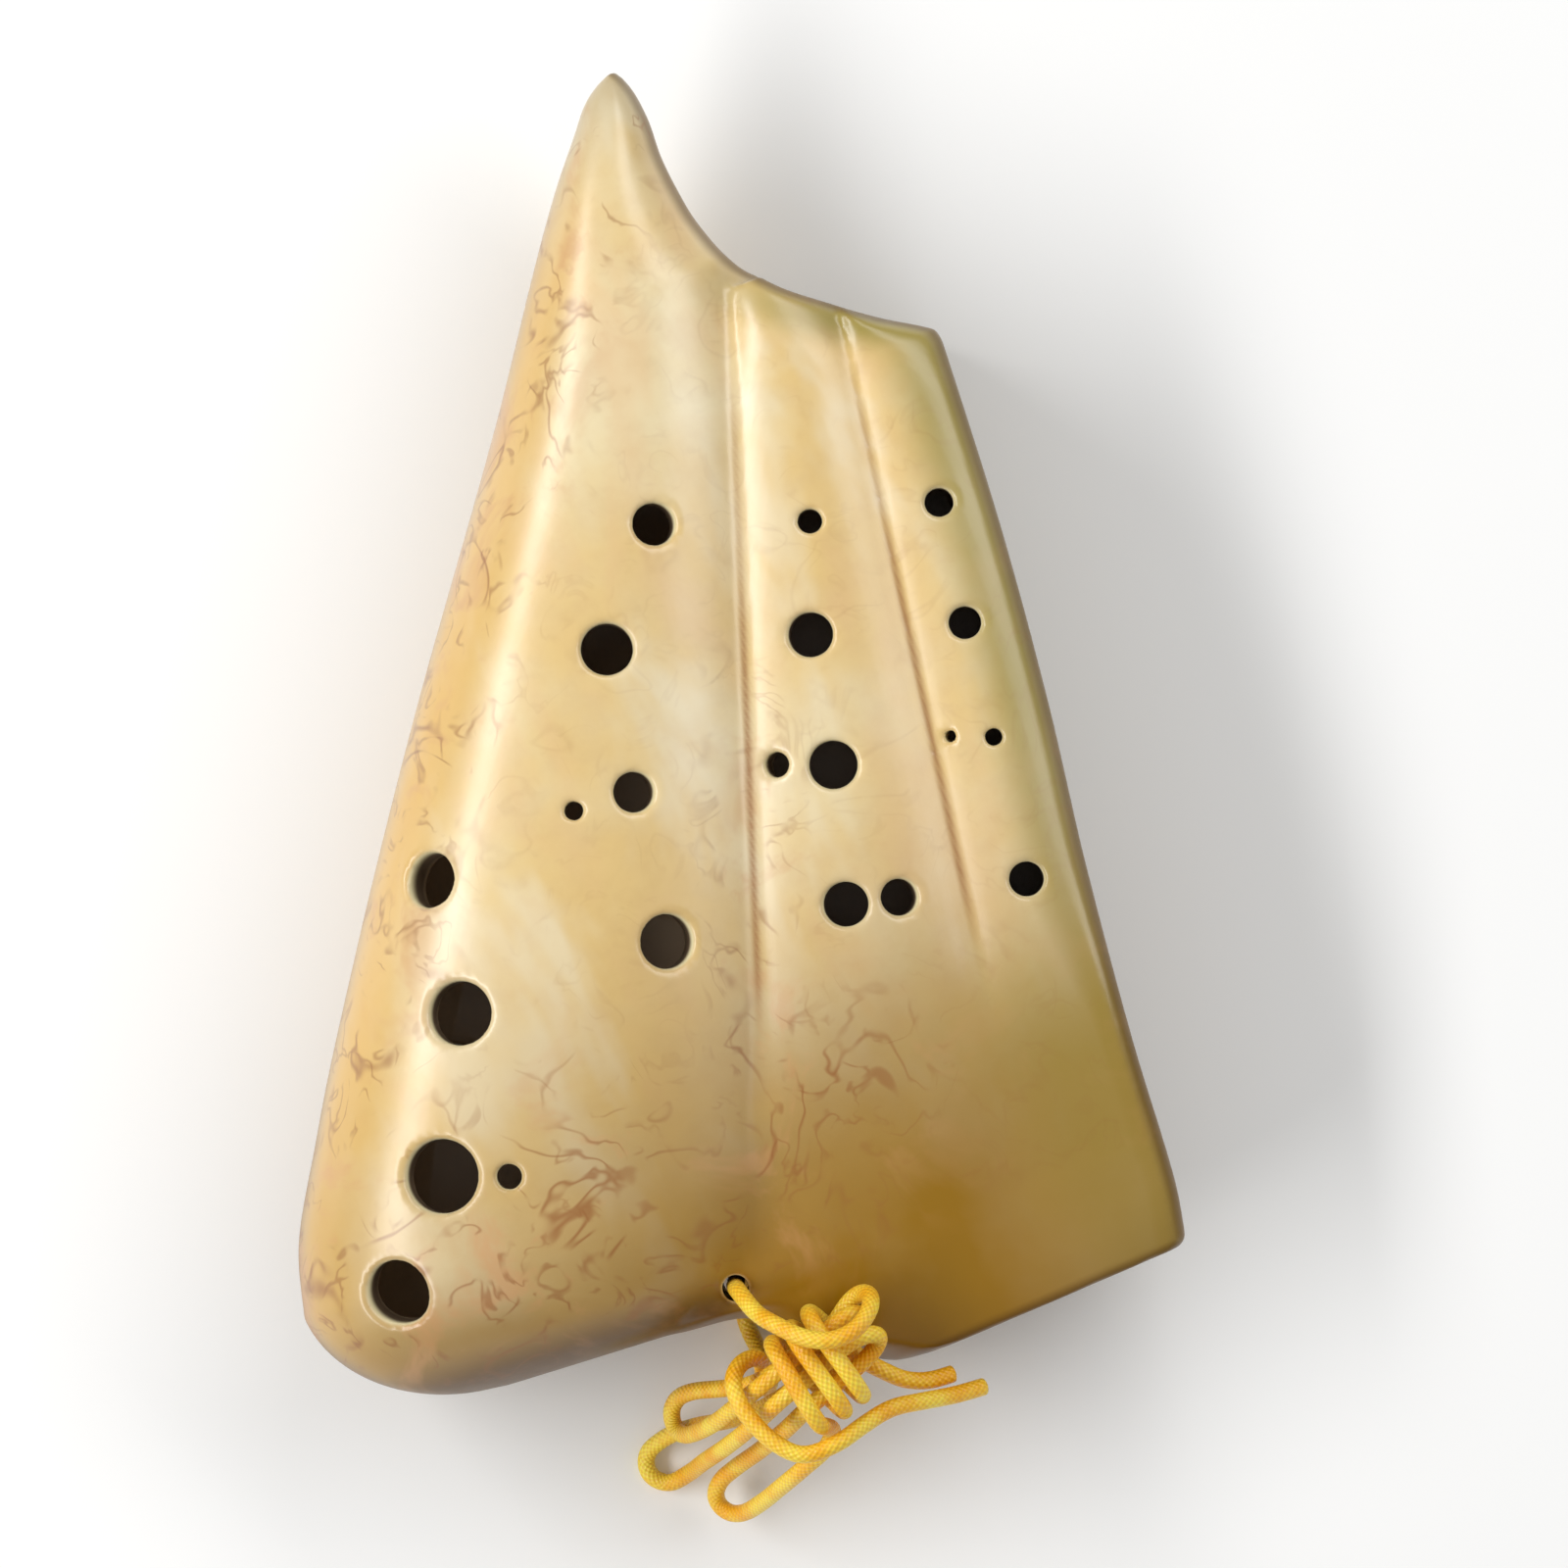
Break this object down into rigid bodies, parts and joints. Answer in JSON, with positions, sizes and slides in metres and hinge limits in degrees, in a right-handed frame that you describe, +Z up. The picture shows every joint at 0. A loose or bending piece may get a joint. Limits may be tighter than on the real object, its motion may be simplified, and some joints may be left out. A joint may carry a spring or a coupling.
{
  "type": "triple ocarina",
  "caption": "Triple ocarina of burnished clay: three air chambers side by side, a shared mouthpiece with three windways, finger holes on top and a knotted lanyard cord.",
  "frame": {"origin": "on the table under the middle of the clay body's box", "axes": "+Z up through the finger holes, +Y from the mouth end to the tip, +X along the mouth end to the smallest chamber's side"},
  "size_m": [0.1376, 0.1974, 0.0445],
  "materials": {
    "burnished_clay": "satin",
    "raw_clay": "matte",
    "satin_cord": "satin"
  },
  "bodies": {
    "root": {"upper_shell": "burnished_clay", "lower_shell": "burnished_clay", "septum_main_middle": "raw_clay", "septum_middle_small": "raw_clay", "windway_block_main": "raw_clay", "windway_block_middle": "raw_clay", "windway_block_small": "raw_clay", "cord_strand": "satin_cord", "cord_hank": "satin_cord", "cord_tail": "satin_cord"}
  },
  "joints": []
}
